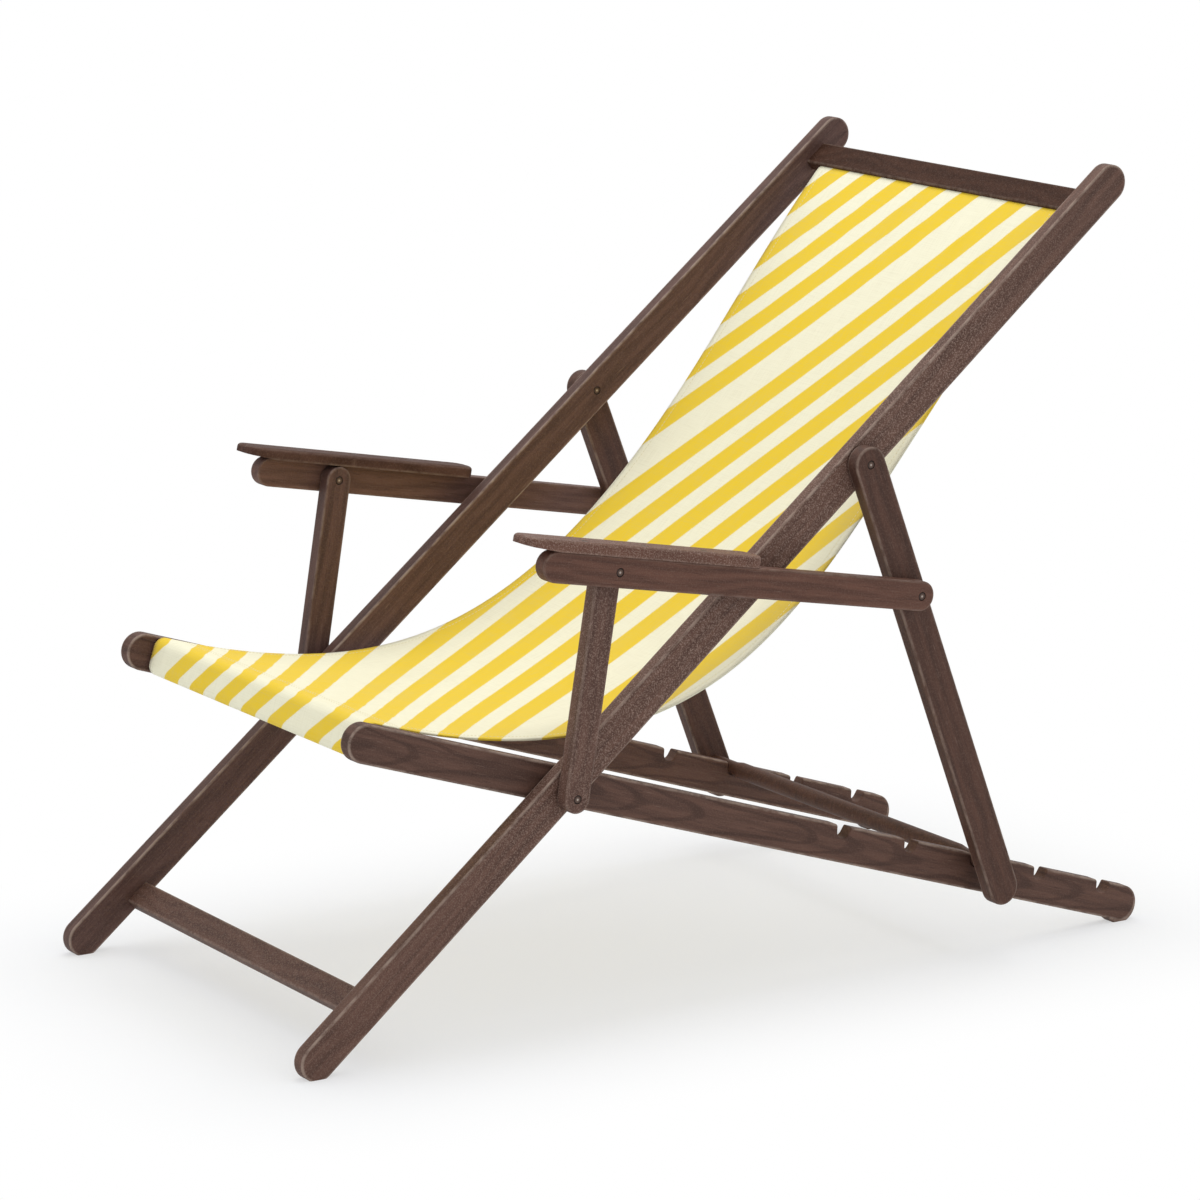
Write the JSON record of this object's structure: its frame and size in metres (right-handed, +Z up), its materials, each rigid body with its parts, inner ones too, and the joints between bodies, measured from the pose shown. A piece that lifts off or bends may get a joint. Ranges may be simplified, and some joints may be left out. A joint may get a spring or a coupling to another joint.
{
  "type": "deck chair",
  "caption": "Folding wooden deck chair with flat arms, a striped canvas sling and a prop frame whose rod rests in notched seat rails.",
  "frame": {"origin": "on the floor, in the middle of the chair's overall width and depth", "axes": "+X towards the sitter's left, +Y from the front to the back, +Z up"},
  "size_m": [0.576, 1.1112, 0.8635],
  "materials": {
    "wood": "dark stained, worn satin",
    "canvas": "cream and yellow striped canvas",
    "steel": "dull steel"
  },
  "bodies": {
    "main_frame": {"left_main_rail": "wood", "right_main_rail": "wood", "top_slat": "wood", "foot_stretcher": "wood", "main_pivot_pins": "steel", "main_pivot_washers": "steel", "prop_pivot_sockets": "steel", "prop_pivot_washers": "steel", "sling": "canvas"},
    "seat_frame": {"left_seat_rail": "wood", "right_seat_rail": "wood", "front_bar": "wood"},
    "prop_frame": {"left_prop_leg": "wood", "right_prop_leg": "wood", "prop_rod": "wood", "prop_pivot_pins": "steel"},
    "left_post": {"left_arm_post": "wood", "left_arm_front_pin": "steel", "left_arm_front_washer": "steel"},
    "left_arm": {"left_arm_rail": "wood", "left_arm_board": "wood", "left_arm_board_screws": "steel", "left_arm_rear_pin": "steel", "left_arm_rear_washer": "steel"},
    "right_post": {"right_arm_post": "wood", "right_arm_front_pin": "steel", "right_arm_front_washer": "steel"},
    "right_arm": {"right_arm_rail": "wood", "right_arm_board": "wood", "right_arm_board_screws": "steel", "right_arm_rear_pin": "steel", "right_arm_rear_washer": "steel"}
  },
  "joints": [
    {"name": "seat_fold", "type": "hinge", "parent": "main_frame", "child": "seat_frame", "pos_m": [0, -0.2451, 0.25312], "axis": [1, 0, 0], "range_deg": [0, 57.16], "deforming": ["sling"]},
    {"name": "left_post_swing", "type": "hinge", "parent": "main_frame", "child": "left_post", "pos_m": [0, -0.2451, 0.25312], "axis": [1, 0, 0], "range_deg": [-41.5, 0]},
    {"name": "left_arm_swing", "type": "hinge", "parent": "left_post", "child": "left_arm", "pos_m": [0, -0.2135, 0.48851], "axis": [1, 0, 0], "range_deg": [0, 91.87]},
    {"name": "right_post_swing", "type": "hinge", "parent": "main_frame", "child": "right_post", "pos_m": [0, -0.2451, 0.25312], "axis": [1, 0, 0], "range_deg": [-41.5, 0]},
    {"name": "right_arm_swing", "type": "hinge", "parent": "right_post", "child": "right_arm", "pos_m": [0, -0.2135, 0.48851], "axis": [1, 0, 0], "range_deg": [0, 91.87]},
    {"name": "prop_swing", "type": "hinge", "parent": "left_arm", "child": "prop_frame", "pos_m": [0, 0.1782, 0.42358], "axis": [1, 0, 0], "range_deg": [0, 57.32]}
  ],
  "couplings": [
    {"joint": "left_post_swing", "follows": "seat_fold", "ratio": -0.72423},
    {"joint": "left_arm_swing", "follows": "seat_fold", "ratio": 1.6052},
    {"joint": "right_post_swing", "follows": "seat_fold", "ratio": -0.72423},
    {"joint": "right_arm_swing", "follows": "seat_fold", "ratio": 1.6052},
    {"joint": "prop_swing", "follows": "seat_fold", "ratio": 1.0009}
  ]
}
